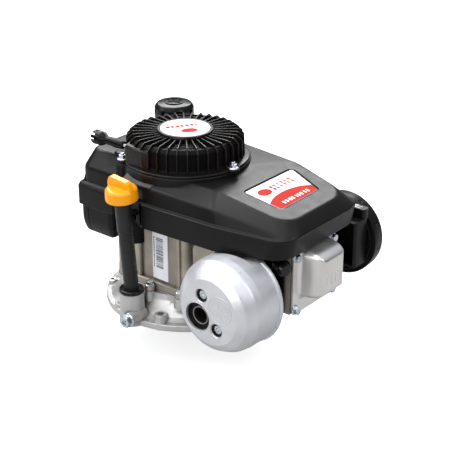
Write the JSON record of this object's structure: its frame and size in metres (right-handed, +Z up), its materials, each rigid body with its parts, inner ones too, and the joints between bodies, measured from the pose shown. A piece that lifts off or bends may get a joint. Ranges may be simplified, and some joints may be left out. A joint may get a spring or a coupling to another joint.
{
  "type": "small petrol engine",
  "caption": "Vertical-shaft four-stroke petrol engine with recoil starter, shrouded flywheel, fuel tank, silencer, air filter and oil dipstick on a round deck flange.",
  "frame": {"origin": "crankshaft axis at the underside of the round deck flange", "axes": "+Z up along the crankshaft, +X along the cylinder towards the rocker cover, -Y towards the silencer, +Y towards the air filter"},
  "size_m": [0.372, 0.284, 0.297],
  "materials": {
    "black_plastic": "satin, fine moulded grain",
    "starter_plastic": "semi-gloss moulded",
    "tank_plastic": "semi-gloss blow-moulded",
    "casting": "die cast, matte",
    "sump_casting": "die cast, tumbled",
    "silver_paint": "heat-proof silver paint",
    "pressed_metal": "satin pressed sheet",
    "zinc_steel": "bright zinc plate",
    "steel": "ground",
    "cast_iron": "as cast",
    "tube_plastic": "satin",
    "yellow_plastic": "gloss moulded",
    "rubber": "satin",
    "gasket": "pressed fibre",
    "filter_paper": "pleated paper",
    "rope": "braided"
  },
  "bodies": {
    "root": {"sump": "sump_casting", "sump_gasket": "gasket", "crankcase": "casting", "cylinder_head": "casting", "carburettor": "casting", "oil_seal": "rubber", "plug_boot": "rubber", "ignition_coil": "rubber", "intake_spacer": "rubber", "valve_spring_intake": "steel", "valve_spring_exhaust": "steel", "recoil_spring": "steel", "head_gasket": "steel", "rocker_cover": "pressed_metal", "rocker_bolt_1": "zinc_steel", "rocker_bolt_2": "zinc_steel", "rocker_bolt_3": "zinc_steel", "rocker_bolt_4": "zinc_steel", "spark_plug": "zinc_steel", "starter_nut_1": "zinc_steel", "starter_nut_2": "zinc_steel", "starter_nut_3": "zinc_steel", "drain_plug": "zinc_steel", "muffler_bolt_1": "zinc_steel", "muffler_bolt_2": "zinc_steel", "tail_pipe": "cast_iron", "shroud": "black_plastic", "air_filter_base": "black_plastic", "starter_housing": "starter_plastic", "fuel_tank": "tank_plastic", "filler_tube": "tube_plastic", "muffler_shell": "silver_paint", "muffler_back": "silver_paint", "filter_element": "filter_paper", "starter_rope": "rope"},
    "crank": {"crankshaft_lower": "steel", "crankshaft_upper": "steel", "pto_key": "steel", "flywheel": "cast_iron", "cooling_fan": "black_plastic", "starter_cup": "steel", "flywheel_nut": "zinc_steel"},
    "camshaft": {"camshaft": "cast_iron"},
    "piston": {"piston": "pressed_metal", "wrist_pin": "steel"},
    "rod": {"connecting_rod": "casting", "crankpin": "steel"},
    "rocker_intake": {"rocker_arm_intake": "steel"},
    "rocker_exhaust": {"rocker_arm_exhaust": "steel"},
    "valve_intake": {"valve_intake": "steel"},
    "valve_exhaust": {"valve_exhaust": "steel"},
    "handle": {"rope_handle": "starter_plastic"},
    "reel": {"rope_reel": "black_plastic"},
    "cap_seal": {"fuel_cap_seal": "rubber"},
    "fuel_cap": {"fuel_cap": "black_plastic"},
    "dipstick": {"dipstick_blade": "steel"},
    "dipstick_cap": {"dipstick_cap": "yellow_plastic"},
    "filter_cover": {"air_filter_cover": "black_plastic"},
    "throttle": {"throttle_lever": "steel"},
    "choke": {"choke_lever": "black_plastic"}
  },
  "joints": [
    {"name": "crank_spin", "type": "hinge", "parent": "root", "child": "crank", "pos_m": [0, 0, 0.1], "axis": [0, 0, 1], "continuous": true},
    {"name": "cam_spin", "type": "hinge", "parent": "root", "child": "camshaft", "pos_m": [-0.014, 0.049, 0.08], "axis": [0, 0, 1], "continuous": true},
    {"name": "piston_stroke", "type": "slide", "parent": "root", "child": "piston", "axis": [1, 0, 0], "range_m": [-0.043, 0]},
    {"name": "rod_swing", "type": "hinge", "parent": "piston", "child": "rod", "pos_m": [0.1115, 0, 0.097], "axis": [0, 0, 1], "range_deg": [-13.8, 13.8]},
    {"name": "intake_rocker_rock", "type": "hinge", "parent": "root", "child": "rocker_intake", "pos_m": [0.196, 0.022, 0.113], "axis": [0, 0, 1], "range_deg": [-9, 0], "stiffness_Nm_per_rad": 1},
    {"name": "intake_valve_lift", "type": "slide", "parent": "root", "child": "valve_intake", "axis": [1, 0, 0], "range_m": [-0.0036, 0]},
    {"name": "exhaust_rocker_rock", "type": "hinge", "parent": "root", "child": "rocker_exhaust", "pos_m": [0.196, 0.022, 0.081], "axis": [0, 0, 1], "range_deg": [-9, 0], "stiffness_Nm_per_rad": 1},
    {"name": "exhaust_valve_lift", "type": "slide", "parent": "root", "child": "valve_exhaust", "axis": [1, 0, 0], "range_m": [-0.0036, 0]},
    {"name": "rope_pull", "type": "slide", "parent": "root", "child": "handle", "axis": [-1, 0, 0], "range_m": [0, 0.6], "stiffness_N_per_m": 6, "springref_m": -0.2},
    {"name": "reel_spin", "type": "hinge", "parent": "root", "child": "reel", "pos_m": [0, 0, 0.22], "axis": [0, 0, 1], "range_deg": [-1060, 0]},
    {"name": "fuel_cap_lift", "type": "slide", "parent": "root", "child": "cap_seal", "axis": [0, 0, 1], "range_m": [0, 0.06]},
    {"name": "fuel_cap_twist", "type": "hinge", "parent": "cap_seal", "child": "fuel_cap", "pos_m": [-0.091, 0.081, 0.22], "axis": [0, 0, 1], "range_deg": [0, 180]},
    {"name": "dipstick_lift", "type": "slide", "parent": "root", "child": "dipstick", "axis": [0, -0.0849, 0.9964], "range_m": [0, 0.17]},
    {"name": "dipstick_twist", "type": "hinge", "parent": "dipstick", "child": "dipstick_cap", "pos_m": [-0.004, -0.117, 0.18], "axis": [0, -0.0849, 0.9964], "range_deg": [0, 90]},
    {"name": "filter_cover_pull", "type": "slide", "parent": "root", "child": "filter_cover", "axis": [0, 1, 0], "range_m": [0, 0.05]},
    {"name": "throttle_turn", "type": "hinge", "parent": "root", "child": "throttle", "pos_m": [0.15, 0.058, 0.13], "axis": [0, 0, 1], "range_deg": [-60, 0]},
    {"name": "choke_turn", "type": "hinge", "parent": "root", "child": "choke", "pos_m": [0.15, 0.08, 0.13], "axis": [0, 0, 1], "range_deg": [-60, 0]}
  ],
  "couplings": [
    {"joint": "cam_spin", "follows": "crank_spin", "ratio": -0.5},
    {"joint": "intake_valve_lift", "follows": "intake_rocker_rock", "m_per_rad": 0.022},
    {"joint": "exhaust_valve_lift", "follows": "exhaust_rocker_rock", "m_per_rad": 0.022},
    {"joint": "reel_spin", "follows": "rope_pull", "rad_per_m": -30}
  ]
}
